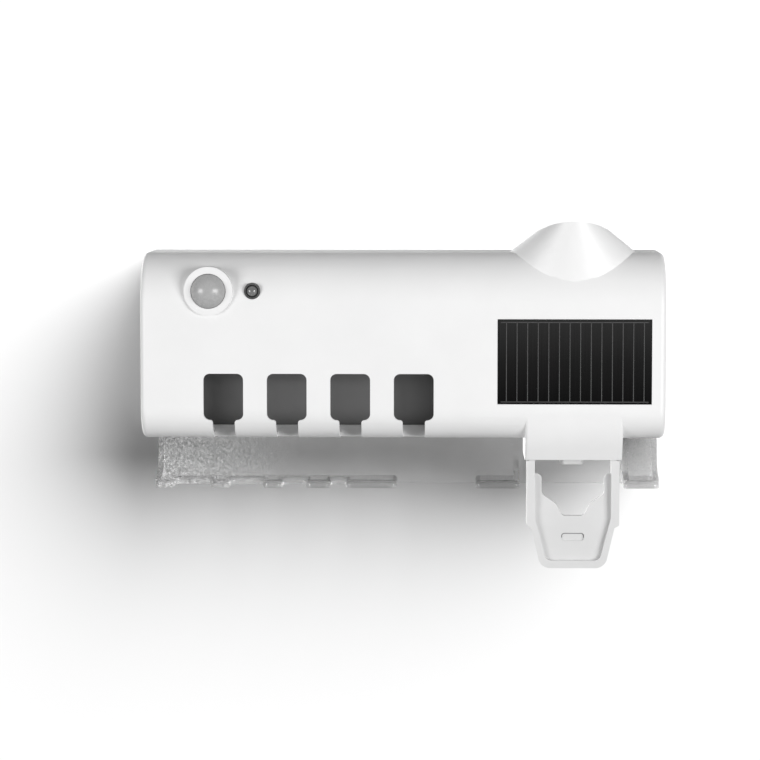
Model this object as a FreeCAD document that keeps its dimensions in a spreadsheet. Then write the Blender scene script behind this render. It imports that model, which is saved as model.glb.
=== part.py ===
import FreeCAD, Part
import Sketcher
import math
import os
import re

Vector = FreeCAD.Vector

# Driving dimensions, in millimetres and counts.
# X runs to the right seen from the front, Y into the wall, Z up.
# The origin lies on the wall, behind the middle of the housing.
SIZES = {
    # housing
    "body_width": 220.0,
    "body_height": 78.0,
    "front_depth": 56.0,
    "rear_edge": 4.3,
    "top_round": 22.0,
    "bottom_round": 14.0,
    "end_round": 2.5,
    "shell_wall": 2.2,
    "cover_thick": 2.2,
    "cover_gap": 0.15,
    "overrun": 1.0,
    "clear_ahead": 20.0,
    # wall bracket
    "tape_thick": 0.8,
    "tape_width": 50.0,
    "tape_height": 46.0,
    "tape_spacing": 66.0,
    "tape_count": 3,
    "plate_thick": 2.5,
    "plate_left_inset": 3.0,
    "plate_right_inset": 0.5,
    "plate_top_drop": 13.0,
    "plate_corner": 4.0,
    "shelf_drop": 23.6,
    "shelf_thick": 3.3,
    "shelf_front": 25.0,
    "shelf_round": 2.4,
    "rack_root": 12.0,
    "rack_root_round": 2.5,
    "finger_round": 2.0,
    "rack_first_in": 16.0,
    "rack_first_wide": 16.2,
    "rack_second_in": 39.2,
    "rack_second_wide": 14.5,
    "rack_third_in": 59.8,
    "rack_third_wide": 10.4,
    "rack_fourth_in": 78.7,
    "rack_fourth_wide": 6.6,
    "comb_length": 104.0,
    "shelf_right_length": 18.9,
    "spout_gap_left": 22.1,
    "spout_gap_right": 22.5,
    "gusset_thick": 2.4,
    "gusset_top_gap": 1.2,
    "gusset_top_depth": 5.0,
    "gusset_curve": 8.0,
    "hook_width": 12.0,
    "hook_left": 60.0,
    "hook_right": 25.0,
    "hook_stem_low": 10.0,
    "hook_stem": 4.0,
    "hook_lip": 8.0,
    "hook_lip_thick": 2.2,
    "hook_gap": 0.3,
    # brush slots and steriliser chamber
    "slot_pitch": 26.6,
    "slot_inset": 34.8,
    "slot_count": 4,
    "window_width": 16.7,
    "window_top_rise": 27.9,
    "window_bottom_rise": 8.3,
    "window_round": 2.7,
    "neck_width": 9.3,
    "neck_depth": 18.0,
    "neck_lip_thick": 1.8,
    "neck_lip_height": 2.6,
    "shoulder_round": 1.2,
    "liner_wall": 1.5,
    "liner_rise": 33.0,
    "liner_depth": 26.0,
    "liner_margin": 14.8,
    "liner_gap": 0.3,
    "lamp_set_back": 14.0,
    "lamp_radius": 2.5,
    "lamp_height": 2.2,
    "lamp_gap": 0.3,
    "strip_width": 10.0,
    "strip_thick": 1.2,
    # motion sensor, light and control board
    "sensor_inset": 28.7,
    "light_spacing": 18.3,
    "sensor_drop": 15.5,
    "lens_radius": 7.2,
    "lens_rise": 4.6,
    "lens_flange": 8.8,
    "lens_flange_thick": 1.2,
    "sensor_boss": 10.2,
    "sensor_boss_proud": 1.2,
    "sensor_boss_depth": 8.4,
    "fit_gap": 0.15,
    "sensor_can": 4.6,
    "light_radius": 2.5,
    "light_rise": 1.2,
    "bezel_radius": 3.3,
    "bezel_flange": 4.1,
    "bezel_set_back": 6.7,
    "bezel_flange_thick": 1.0,
    "board_set_back": 14.0,
    "board_thick": 1.6,
    "board_beyond_sensor": 36.3,
    "board_height": 28.0,
    "board_top_drop": 8.0,
    "port_rise": 7.0,
    "port_width": 8.9,
    "port_thick": 3.2,
    "port_length": 7.3,
    "port_inset": 1.0,
    "port_wall": 0.4,
    # solar panel
    "panel_width": 64.2,
    "panel_height": 35.4,
    "panel_centre": 5.9,
    "panel_thick": 1.5,
    "panel_recess": 1.4,
    "panel_gap": 0.15,
    # battery
    "cell_radius": 9.1,
    "cell_length": 65.0,
    "cell_inset": 30.0,
    "cell_rise": 21.0,
    "cell_gap": 0.2,
    "cradle_wall": 1.8,
    # screws and posts
    "post_radius": 3.4,
    "post_length": 16.0,
    "post_inset": 12.0,
    "post_edge": 3.2,
    "pilot_radius": 1.25,
    "screw_radius": 1.2,
    "screw_head": 2.6,
    "screw_head_thick": 1.4,
    "screw_bite": 8.0,
    "screw_clearance": 1.6,
    # spout: collar, apron and tube seat
    "spout_inset": 38.2,
    "tube_set_back": 19.0,
    "collar_bore": 14.6,
    "collar_wall": 1.6,
    "hood_rise": 13.6,
    "hood_set_back": 2.6,
    "hood_radius": 15.4,
    "hood_neck_rise": 9.0,
    "hood_flare": 1.26,
    "hood_foot_drop": 13.0,
    "hood_fall": 0.3,
    "sleeve_length": 27.0,
    "apron_half": 20.5,
    "apron_wall": 1.8,
    "apron_drop": 9.0,
    "apron_knee_rise": 5.0,
    "apron_setback": 9.4,
    "apron_sweep": 38.0,
    "apron_back": 12.0,
    "apron_round": 1.2,
    "funnel_flange": 11.6,
    "funnel_wall": 1.7,
    "funnel_throat": 9.2,
    "funnel_throat_rise": 11.0,
    "adapter_bore": 6.0,
    "adapter_floor": 2.0,
    "adapter_hole": 4.0,
    "adapter_length": 13.0,
    "seat_rise": 27.0,
    # pump
    "pump_half": 15.7,
    "pump_set_back": 8.5,
    "pump_step_rise": 11.0,
    "pump_past_chamber": 2.6,
    "pump_drop": 7.5,
    "pump_shoulder_back": 34.5,
    "chamber_set_back": 21.2,
    "chamber_reach": 39.5,
    "chamber_rise": 2.0,
    "chamber_radius": 7.0,
    "run_gap": 0.06,
    "cap_thick": 1.3,
    "cap_radius": 8.4,
    "head_length": 3.2,
    "head_rest_gap": 0.2,
    "rod_radius": 3.2,
    "seal_wire": 0.85,
    "seal_centre": 6.05,
    "inlet_radius": 1.5,
    "inlet_set_back": 25.4,
    "valve_recess": 8.4,
    "valve_recess_deep": 3.5,
    "valve_radius": 8.0,
    "valve_thick": 1.0,
    "valve_stem": 1.0,
    "valve_stem_length": 3.0,
    "outlet_set_back": 30.0,
    "outlet_radius": 2.2,
    "bill_flange": 3.8,
    "bill_flange_thick": 1.2,
    "bill_radius": 1.9,
    "bill_length": 3.6,
    "bill_tip": 0.6,
    "nozzle_width": 10.0,
    "nozzle_deep": 9.0,
    "nozzle_drop": 12.8,
    "nozzle_round": 2.0,
    "ear_half": 27.6,
    "ear_set_back": 32.0,
    "ear_thick": 2.5,
    "ear_height": 15.0,
    "ear_below_seat": 2.0,
    "pump_screw_out": 23.8,
    "pump_screw_rise": 9.5,
    "spring_radius": 3.8,
    "spring_wire": 0.8,
    "spring_turns": 6,
    "spring_end_gap": 0.08,
    "spring_pocket": 4.6,
    "spring_pocket_deep": 1.2,
    # push lever
    "pivot_set_back": 22.0,
    "pivot_rise": 15.0,
    "pin_radius": 1.5,
    "pin_gap": 0.05,
    "hub_radius": 4.0,
    "side_gap": 0.4,
    "lever_set_back": 12.0,
    "lever_reach": 19.5,
    "lever_gap": 0.6,
    "rail_out": 19.6,
    "rail_in": 16.1,
    "rail_length": 28.2,
    "rail_step_in": 2.0,
    "lever_length": 46.3,
    "toe_half": 13.6,
    "toe_round": 5.0,
    "rim_width": 3.2,
    "tray_toe_half": 11.4,
    "tray_toe_round": 3.0,
    "tray_deep": 2.0,
    "tray_floor": 2.8,
    "tray_slope": 1.0,
    "scoop_top_drop": 6.4,
    "scoop_shoulder": 13.2,
    "scoop_wave_drop": 15.0,
    "scoop_waist": 7.0,
    "scoop_waist_fall": 19.2,
    "scoop_floor_drop": 24.2,
    "scoop_floor_half": 4.6,
    "scoop_round": 2.2,
    "grip_width": 9.7,
    "grip_height": 3.3,
    "grip_drop": 31.6,
    "grip_deep": 0.6,
    "grip_round": 1.3,
    "bar_set_back": 12.5,
    "bar_thick": 2.0,
    "bar_rise": 3.5,
    "bar_fall": 4.0,
    "nose_gap": 0.3,
}

# Places that follow the housing, the bracket or the pump when a size changes
PLACES = {
    "spout_x": "(body_width/2 - spout_inset)",
    "plate_left": "(body_width/2 - plate_left_inset)",
    "plate_right": "(body_width/2 - plate_right_inset)",
    "rack_first_at": "(plate_left - rack_first_in)",
    "rack_second_at": "(plate_left - rack_second_in)",
    "rack_third_at": "(plate_left - rack_third_in)",
    "rack_fourth_at": "(plate_left - rack_fourth_in)",
    "shelf_mid_end": "(plate_left - comb_length)",
    "slot_first": "(body_width/2 - slot_inset)",
    "sensor_left": "(body_width/2 - sensor_inset)",
    "light_left": "(sensor_left - light_spacing)",
    "board_right": "(sensor_left - board_beyond_sensor)",
    "cell_left": "(body_width/2 - cell_inset)",
    "plate_top": "(body_height/2 - plate_top_drop)",
    "shelf_bottom": "(body_height/2 + shelf_drop)",
    "window_top": "(body_height/2 - window_top_rise)",
    "window_bottom": "(body_height/2 - window_bottom_rise)",
    "liner_top": "(body_height/2 - liner_rise)",
    "sensor_height": "(body_height/2 - sensor_drop)",
    "board_high": "(body_height/2 - board_top_drop)",
    "board_low": "(board_high - board_height)",
    "port_height": "(board_low + port_rise)",
    "cell_drop": "(body_height/2 - cell_rise)",
    "collar_front": "(body_height/2 + hood_rise)",
    "hood_height": "(body_height/2 + hood_neck_rise)",
    "hood_foot": "(body_height/2 - hood_foot_drop)",
    "sleeve_bottom": "(body_height/2 - sleeve_length)",
    "apron_bottom": "(body_height/2 + apron_drop)",
    "apron_knee": "(body_height/2 - apron_knee_rise)",
    "seat_height": "(body_height/2 - seat_rise)",
    "pump_step": "(body_height/2 - pump_step_rise)",
    "pump_low": "(body_height/2 + pump_drop)",
    "chamber_height": "(body_height/2 - chamber_rise)",
    "nozzle_bottom": "(body_height/2 + nozzle_drop)",
    "pivot_drop": "(body_height/2 - pivot_rise)",
    "ear_low": "(seat_height + ear_below_seat)",
    "rail_step": "(apron_bottom + rail_length)",
    "lever_bottom": "(apron_bottom + lever_length)",
    "scoop_top": "(apron_bottom + scoop_top_drop)",
    "scoop_wave": "(apron_bottom + scoop_wave_drop)",
    "scoop_waist_drop": "(apron_bottom + scoop_waist_fall)",
    "scoop_floor": "(apron_bottom + scoop_floor_drop)",
    "grip_top": "(apron_bottom + grip_drop)",
    "bar_top": "(chamber_height - bar_rise)",
    "bar_low": "(chamber_height + bar_fall)",
    "board_back": "(front_depth - board_set_back)",
    "liner_back": "(front_depth - liner_depth)",
    "neck_back": "(front_depth - neck_depth)",
    "lamp_depth": "(front_depth - lamp_set_back)",
    "sensor_boss_back": "(front_depth - sensor_boss_depth)",
    "bezel_flange_back": "(front_depth - bezel_set_back)",
    "hood_face": "(front_depth - hood_set_back)",
    "tube_depth": "(front_depth - tube_set_back)",
    "pump_front": "(front_depth - pump_set_back)",
    "pump_shoulder": "(front_depth - pump_shoulder_back)",
    "chamber_front": "(front_depth - chamber_set_back)",
    "chamber_end": "(front_depth - chamber_reach)",
    "inlet_depth": "(front_depth - inlet_set_back)",
    "outlet_depth": "(front_depth - outlet_set_back)",
    "ear_back": "(front_depth - ear_set_back)",
    "pivot_depth": "(front_depth - pivot_set_back)",
    "lever_front": "(front_depth - lever_set_back)",
    "lever_back": "(front_depth - lever_reach)",
    "bar_front": "(front_depth - bar_set_back)",
    "shelf_right_start": "(spout_x - spout_gap_left - shelf_right_length)",
    "funnel_throat_top": "(funnel_throat_rise - seat_height)",
    "adapter_top": "(adapter_length - seat_height)",
    "ear_top": "(ear_height - ear_low)",
    "pump_screw_drop": "(ear_low - pump_screw_rise)",
    "pump_back": "(chamber_end - pump_past_chamber)",
}

doc = FreeCAD.newDocument("toothpaste_dispenser")
sheet = doc.addObject("Spreadsheet::Sheet", "sizes")
for row, (alias, size) in enumerate(SIZES.items(), 1):
    sheet.set("A%d" % row, alias)
    sheet.set("B%d" % row, str(size))
    sheet.setAlias("B%d" % row, alias)
doc.recompute()


def bound(text):
    """Turn a formula in names of sizes and places into one that points at the sheet's cells."""
    def cell(word):
        name = word.group(0)
        if name in PLACES:
            return bound(PLACES[name])
        return "sizes." + name if name in SIZES else name
    return re.sub(r"[a-z_]+", cell, text)


def value(text):
    """The number that a formula in size names stands for."""
    return float(sheet.evalExpression(bound(text)))


def bind(thing, **formulas):
    """Bind properties of an object to formulas; a double underscore stands for a dot."""
    for name, text in formulas.items():
        thing.setExpression(name.replace("__", "."), bound(text))


# How near a point must lie to count as on a face
CLOSE = 1e-3

# Places that several pieces share
HALF = "body_width/2"
TOP = "body_height/2"
BOTTOM = "-body_height/2"
FRONT = "-front_depth"
REAR = "-rear_edge"
INNER_FRONT = "(shell_wall - front_depth)"
COVER_FACE = "(rear_edge + cover_thick)"
PLATE_FACE = "(tape_thick + plate_thick)"
SHELF_TOP = "(shelf_thick - shelf_bottom)"
COLLAR_OUT = "(collar_bore + collar_wall)"
APRON_IN = "(apron_half - apron_wall)"
LINER_LEFT = "(-slot_first - liner_margin)"
LINER_LONG = "(slot_pitch*(slot_count - 1) + 2*liner_margin)"
LINER_LOW = "(shell_wall + liner_gap - body_height/2)"
FAR = "(front_depth + clear_ahead)"
BOARD_FACE = "(board_back + board_thick)"
HOOK_BACK = "(rear_edge + cover_thick + hook_gap)"
CELL_DEPTH = "(rear_edge + cover_thick + cradle_wall + cell_gap + cell_radius)"
LEVER_TOP = "(-apron_bottom - lever_gap)"
ARM_OUT = "(apron_half - apron_wall - side_gap)"
HEAD_FRONT = "(head_rest_gap - chamber_front)"
HEAD_BACK = "(head_rest_gap - chamber_front + head_length)"
SEAL_PLACE = "(head_rest_gap - chamber_front + head_length/2)"

# Screw posts of the rear cover: one in each corner, one on each long side
POSTS = [
    ("post_inset - body_width/2", "body_height/2 - shell_wall - post_edge"),
    ("0", "body_height/2 - shell_wall - post_edge"),
    ("body_width/2 - post_inset", "body_height/2 - shell_wall - post_edge"),
    ("post_inset - body_width/2", "shell_wall + post_edge - body_height/2"),
    ("spout_x - apron_half - 2*post_inset", "shell_wall + post_edge - body_height/2"),
    ("body_width/2 - post_edge - shell_wall - apron_wall", "shell_wall + post_edge - body_height/2"),
]
PUMP_POSTS = [
    ("spout_x - pump_screw_out", "-pump_screw_drop"),
    ("spout_x + pump_screw_out", "-pump_screw_drop"),
]
BOARD_POSTS = [
    ("-board_right - 2*post_radius", "board_low + post_radius"),
    ("-board_right - 2*post_radius", "board_low + 5*post_radius"),
    ("-sensor_left - lens_radius - 2*post_radius", "board_low + post_radius"),
]


def new_body(label):
    return doc.addObject("PartDesign::Body", label)


def sketch_on(body, plane, name, offset="0"):
    """A sketch on an origin plane of its body, moved along the plane's normal."""
    sketch = body.newObject("Sketcher::SketchObject", name)
    face = [part for part in body.Origin.OriginFeatures if part.Role == plane + "_Plane"][0]
    sketch.AttachmentSupport = [(face, "")]
    sketch.MapMode = "FlatFace"
    bind(sketch, AttachmentOffset__Base__z=offset)
    return sketch


def hold(sketch, kind, geometry, place, formula):
    """Fix one coordinate of a sketch point, or a radius, to a formula."""
    if kind == "Radius":
        index = sketch.addConstraint(Sketcher.Constraint(kind, geometry, value(formula)))
    else:
        index = sketch.addConstraint(Sketcher.Constraint(kind, -1, 1, geometry, place, value(formula)))
    name = "d%d" % index
    sketch.renameConstraint(index, name)
    sketch.setExpression("Constraints." + name, bound(formula))


def circle(sketch, across, up, radius):
    place = Vector(value(across), value(up), 0)
    index = sketch.addGeometry(Part.Circle(place, Vector(0, 0, 1), value(radius)))
    hold(sketch, "DistanceX", index, 3, across)
    hold(sketch, "DistanceY", index, 3, up)
    hold(sketch, "Radius", index, 0, radius)


def arc_between(middle, radius, start, end):
    """The arc about a middle that runs anticlockwise from one point to another."""
    angles = [math.atan2(place.y - middle.y, place.x - middle.x) for place in (start, end)]
    return Part.ArcOfCircle(Part.Circle(middle, Vector(0, 0, 1), radius), angles[0], angles[1])


def outline(sketch, corners):
    """A closed outline through corners (across, up), (across, up, radius) where the corner is
    rounded, or (across, up, None, radius) where the run to the next corner is an arc that turns left."""
    count = len(corners)
    points = [Vector(value(corner[0]), value(corner[1]), 0) for corner in corners]
    first = sketch.GeometryCount
    arrive = []
    leave = []
    arcs = {}
    for i, corner in enumerate(corners):
        before = (points[i - 1] - points[i]).normalize()
        after = (points[(i + 1) % count] - points[i]).normalize()
        radius = value(corner[2]) if len(corner) == 3 else 0
        half = before.getAngle(after) / 2
        arrive.append(points[i] + before * (radius / math.tan(half)))
        leave.append(points[i] + after * (radius / math.tan(half)))
        if radius:
            middle = points[i] + (before + after).normalize() * (radius / math.sin(half))
            left_turn = before.cross(after).z < 0
            ends = [arrive[i], leave[i]] if left_turn else [leave[i], arrive[i]]
            arcs[i] = (arc_between(middle, radius, *ends), left_turn)
    for i, corner in enumerate(corners):
        start, end = leave[i], arrive[(i + 1) % count]
        if len(corner) == 4:
            radius = value(corner[3])
            chord = end - start
            rise = math.sqrt(max(radius ** 2 - (chord.Length / 2) ** 2, 0))
            middle = (start + end) / 2 + Vector(-chord.y, chord.x, 0).normalize() * rise
            run = sketch.addGeometry(arc_between(middle, radius, start, end), False)
            hold(sketch, "Radius", run, 0, corner[3])
        else:
            sketch.addGeometry(Part.LineSegment(start, end), False)
    for i, corner in enumerate(corners):
        run_in = first + (i - 1) % count
        run_out = first + i
        if i in arcs:
            arc, left_turn = arcs[i]
            bend = sketch.addGeometry(arc, False)
            start, end = (1, 2) if left_turn else (2, 1)
            apex = sketch.addGeometry(Part.Point(points[i]), True)
            sketch.addConstraint([
                Sketcher.Constraint("Tangent", run_in, 2, bend, start),
                Sketcher.Constraint("Tangent", run_out, 1, bend, end),
                Sketcher.Constraint("PointOnObject", apex, 1, run_in),
                Sketcher.Constraint("PointOnObject", apex, 1, run_out),
            ])
            hold(sketch, "Radius", bend, 0, corner[2])
            hold(sketch, "DistanceX", apex, 1, corner[0])
            hold(sketch, "DistanceY", apex, 1, corner[1])
        else:
            sketch.addConstraint(Sketcher.Constraint("Coincident", run_in, 2, run_out, 1))
            hold(sketch, "DistanceX", run_out, 1, corner[0])
            hold(sketch, "DistanceY", run_out, 1, corner[1])


def box_corners(left, right, low, high, radius=None):
    corners = [(left, low), (right, low), (right, high), (left, high)]
    return [corner + (radius,) for corner in corners] if radius else corners


def feature(body, kind, sketch, length, flip=False):
    """A pad along the sketch's normal or a pocket against it; flip turns either round."""
    made = body.newObject("PartDesign::" + kind, sketch.Name + "_" + kind.lower())
    made.Profile = sketch
    made.Reversed = flip
    bind(made, Length=length)
    sketch.Visibility = False
    doc.recompute()
    return made


def pad_outline(body, plane, name, start, length, corners, flip=False):
    sketch = sketch_on(body, plane, name, start)
    outline(sketch, corners)
    return feature(body, "Pad", sketch, length, flip)


def cut_outline(body, plane, name, start, length, corners, flip=False):
    sketch = sketch_on(body, plane, name, start)
    outline(sketch, corners)
    return feature(body, "Pocket", sketch, length, flip)


def pad_circles(body, plane, name, start, length, circles, flip=False):
    sketch = sketch_on(body, plane, name, start)
    for across, up, radius in circles:
        circle(sketch, across, up, radius)
    return feature(body, "Pad", sketch, length, flip)


def cut_circles(body, plane, name, start, length, circles, flip=False):
    sketch = sketch_on(body, plane, name, start)
    for across, up, radius in circles:
        circle(sketch, across, up, radius)
    return feature(body, "Pocket", sketch, length, flip)


def repeat_along(body, original, spacing, count):
    """Copies of a feature in a row, along the first axis of its sketch."""
    row = body.newObject("PartDesign::LinearPattern", original.Name + "_row")
    row.Originals = [original]
    row.Direction = (original.Profile[0], ["H_Axis"])
    bind(row, Length="(%s)*(%s)" % (spacing, count + " - 1"), Occurrences=count)
    body.Tip = row
    doc.recompute()
    return row


def round_edges(body, radius, chosen):
    """Fillet the edges of the body's last feature that the test picks out."""
    base = body.Tip
    names = ["Edge%d" % (i + 1) for i, edge in enumerate(base.Shape.Edges) if chosen(edge)]
    made = body.newObject("PartDesign::Fillet", body.Name + "_round")
    made.Base = (base, names)
    bind(made, Radius=radius)
    doc.recompute()
    return made


def all_near(edge, test):
    """Whether a test holds at both ends and the middle of an edge."""
    first, last = edge.ParameterRange
    return all(test(edge.valueAt(first + share * (last - first))) for share in (0.0, 0.3, 0.5, 0.7, 1.0))


def revolved(label, corners, across, deep, high, axis="Z"):
    """A turned piece: corners (radius, along) about an axis through a place."""
    body = new_body(label)
    sketch = sketch_on(body, "XZ", label + "_profile")
    outline(sketch, corners)
    turned = body.newObject("PartDesign::Revolution", label + "_turned")
    turned.Profile = sketch
    turned.ReferenceAxis = (sketch, ["V_Axis"])
    turned.Angle = 360
    sketch.Visibility = False
    if axis == "Y":
        body.Placement.Rotation = FreeCAD.Rotation(Vector(1, 0, 0), -90)
    bind(body, Placement__Base__x=across, Placement__Base__y=deep, Placement__Base__z=high)
    doc.recompute()
    return body


def make_front_shell():
    """White housing: D-shaped trough, tube collar, spout apron, brush slots and posts."""
    body = new_body("front_shell")
    profile = [
        (REAR, BOTTOM),
        (REAR, TOP),
        (FRONT, TOP, "top_round"),
        (FRONT, BOTTOM, "bottom_round"),
    ]
    pad_outline(body, "YZ", "shell_profile", "-" + HALF, "body_width", profile)

    # Rounded ends
    end_x = value(HALF)
    rear_y = value(REAR)
    round_edges(body, "end_round", lambda edge: all_near(edge, lambda p: abs(abs(p.x) - end_x) < CLOSE)
                and not all_near(edge, lambda p: abs(p.y - rear_y) < CLOSE))

    # Hood round the tube: a leaning cone whose front stands upright, cut off along a slope
    hood = []
    for name, height in (("hood_foot", "hood_foot"), ("hood_tip", "collar_front + collar_wall")):
        section = sketch_on(body, "XY", name + "_ring", height)
        radius = "(hood_radius + hood_flare*(hood_height - (%s)))" % height
        circle(section, "spout_x", radius + " - hood_face", radius)
        hood.append(section)
    cone = body.newObject("PartDesign::AdditiveLoft", "hood_cone")
    cone.Profile = hood[0]
    cone.Sections = [hood[1]]
    cone.Ruled = True
    doc.recompute()
    cut_outline(body, "YZ", "hood_slant", "body_width", "body_width", [
        (FRONT, "collar_front + hood_fall*(front_depth - hood_face)"),
        ("(collar_front - %s)/hood_fall - hood_face" % TOP, TOP),
        (REAR, TOP),
        (REAR, BOTTOM),
        ("front_depth", BOTTOM),
        ("front_depth", "2*collar_front"),
        (FRONT, "2*collar_front"),
    ])
    cut_outline(body, "XZ", "hood_end_trim", FAR, FAR, box_corners(
        HALF, "body_width", BOTTOM, TOP))

    # Apron: the front carried on down as a spout housing
    pad_outline(body, "YZ", "apron_profile", "spout_x - apron_half", "2*apron_half", [
        (FRONT, "-apron_knee/2"),
        (FRONT, "-apron_knee", "apron_sweep"),
        ("apron_setback - front_depth", "-apron_bottom"),
        ("-apron_back", "-apron_bottom"),
        ("-apron_back", "-apron_knee/2"),
    ])
    axis_x = value("spout_x")
    half = value("apron_half")
    low_z = value("-apron_bottom")
    floor_z = value(BOTTOM)
    round_edges(body, "apron_round", lambda edge: edge.Length > value("2*apron_round")
                and all_near(edge, lambda p: abs(abs(p.x - axis_x) - half) < CLOSE)
                and all_near(edge, lambda p: low_z - CLOSE < p.z < floor_z + CLOSE)
                and not all_near(edge, lambda p: abs(p.z - low_z) < CLOSE)
                and not all_near(edge, lambda p: abs(p.z - floor_z) < CLOSE))

    # Hollow of the trough, open at the rear, and of the apron, open below
    cut_outline(body, "YZ", "shell_hollow", HALF + " - shell_wall", "body_width - 2*shell_wall", [
        ("0", BOTTOM + " + shell_wall"),
        ("0", TOP + " - shell_wall"),
        (INNER_FRONT, TOP + " - shell_wall", "top_round - shell_wall"),
        (INNER_FRONT, BOTTOM + " + shell_wall", "bottom_round - shell_wall"),
    ])
    cut_outline(body, "YZ", "apron_hollow", "spout_x + " + APRON_IN, "2*" + APRON_IN, [
        (INNER_FRONT, "-apron_knee/2"),
        (INNER_FRONT, "-apron_knee", "apron_sweep"),
        ("apron_setback - front_depth + shell_wall", "-apron_bottom"),
        ("apron_setback - front_depth + shell_wall", "-apron_bottom - apron_wall"),
        ("-apron_back - apron_wall", "-apron_bottom - apron_wall"),
        ("-apron_back - apron_wall", "-apron_knee/2"),
    ])

    # Sleeve inside the collar, and the bore for the tube
    pad_circles(body, "XY", "sleeve_ring", "sleeve_bottom", TOP + " - shell_wall - sleeve_bottom",
                [("spout_x", "-tube_depth", COLLAR_OUT)])
    cut_circles(body, "XY", "collar_bore_hole", "2*collar_front", "2*collar_front - sleeve_bottom",
                [("spout_x", "-tube_depth", "collar_bore")])

    # Brush slots: a window with a neck notch that runs out through the underside
    window = [
        ("-slot_first - window_width/2", "-window_top", "window_round"),
        ("-slot_first - window_width/2", "-window_bottom", "window_round"),
        ("-slot_first - neck_width/2", "-window_bottom", "shoulder_round"),
        ("-slot_first - neck_width/2", "-body_height"),
        ("-slot_first + neck_width/2", "-body_height"),
        ("-slot_first + neck_width/2", "-window_bottom", "shoulder_round"),
        ("-slot_first + window_width/2", "-window_bottom", "window_round"),
        ("-slot_first + window_width/2", "-window_top", "window_round"),
    ]
    cut = cut_outline(body, "XZ", "brush_slot", FAR, FAR + " - neck_back", window)
    repeat_along(body, cut, "slot_pitch", "slot_count")
    lip = pad_outline(body, "XZ", "neck_lip", "neck_back - neck_lip_thick", "neck_lip_thick", box_corners(
        "-slot_first - neck_width/2 - neck_lip_thick", "-slot_first + neck_width/2 + neck_lip_thick",
        BOTTOM + " + shell_wall/2", BOTTOM + " + shell_wall + neck_lip_height"))
    repeat_along(body, lip, "slot_pitch", "slot_count")

    # Seats of the motion lens, the light and the solar panel
    pad_circles(body, "XZ", "lens_boss", "sensor_boss_back",
                "front_depth + sensor_boss_proud - sensor_boss_back",
                [("-sensor_left", "sensor_height", "sensor_boss")])
    cut_circles(body, "XZ", "lens_hole", FAR, FAR + " - sensor_boss_back + overrun",
                [("-sensor_left", "sensor_height", "lens_radius + fit_gap")])
    cut_circles(body, "XZ", "lens_flange_seat", "front_depth - shell_wall",
                "front_depth - shell_wall - board_back",
                [("-sensor_left", "sensor_height", "lens_flange + fit_gap")])
    cut_circles(body, "XZ", "light_hole", FAR, FAR + " - sensor_boss_back",
                [("-light_left", "sensor_height", "bezel_radius + fit_gap")])
    cut_outline(body, "XZ", "panel_seat", FAR, FAR + " - front_depth + panel_recess", box_corners(
        "spout_x - panel_width/2 - panel_gap", "spout_x + panel_width/2 + panel_gap",
        "-panel_centre - panel_height/2 - panel_gap", "-panel_centre + panel_height/2 + panel_gap"))

    # Screw posts
    pad_circles(body, "XZ", "cover_posts", COVER_FACE, "post_length",
                [(x, z, "post_radius") for x, z in POSTS])
    cut_circles(body, "XZ", "cover_pilots", COVER_FACE, "screw_bite + 2*overrun",
                [(x, z, "pilot_radius") for x, z in POSTS], flip=True)
    pad_circles(body, "XZ", "pump_posts", "ear_back",
                "front_depth - shell_wall/2 - panel_recess - ear_back + overrun",
                [(x, z, "post_radius") for x, z in PUMP_POSTS])
    cut_circles(body, "XZ", "pump_pilots", "ear_back", "screw_bite + 2*overrun",
                [(x, z, "pilot_radius") for x, z in PUMP_POSTS], flip=True)
    pad_circles(body, "XZ", "board_posts", BOARD_FACE, "front_depth - shell_wall/2 - " + BOARD_FACE,
                [(x, z, "post_radius") for x, z in BOARD_POSTS])
    cut_circles(body, "XZ", "board_pilots", BOARD_FACE, "screw_bite - overrun",
                [(x, z, "pilot_radius") for x, z in BOARD_POSTS], flip=True)

    # Opening for the charging port in the left end
    port_start = "-%s + shell_wall + overrun" % HALF
    cut_outline(body, "YZ", "port_hole", port_start, "shell_wall + 2*overrun", box_corners(
        "-board_back - fit_gap", "-board_back + port_thick + fit_gap",
        "port_height - port_width/2 - fit_gap", "port_height + port_width/2 + fit_gap", "port_thick/2"))
    return body


def make_back_cover():
    """Flat rear cover inside the shell's rim, with hook slots and countersunk screw seats."""
    body = new_body("back_cover")
    edge = "(shell_wall + cover_gap)"
    start = COVER_FACE + " + overrun"
    through = "cover_thick + 2*overrun"
    pad_outline(body, "XZ", "cover_plate", "rear_edge", "cover_thick", box_corners(
        "%s - %s" % (edge, HALF), "%s - %s" % (HALF, edge),
        "%s - %s" % (edge, TOP), "%s - %s" % (TOP, edge)))
    for side, place in (("left", "-hook_left"), ("right", "hook_right")):
        cut_outline(body, "XZ", "hook_slot_" + side, start, through, box_corners(
            place + " - hook_width/2 - 2*hook_gap", place + " + hook_width/2 + 2*hook_gap",
            "hook_stem_low - hook_lip - 2*hook_gap", "hook_stem_low + hook_stem + hook_gap", "2*hook_gap"))
    cut_circles(body, "XZ", "cover_holes", start, through,
                [(x, z, "screw_clearance") for x, z in POSTS])
    cut_circles(body, "XZ", "cover_head_seats", "rear_edge", "screw_head_thick",
                [(x, z, "screw_head + 2*fit_gap") for x, z in POSTS], flip=True)
    return body


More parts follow.
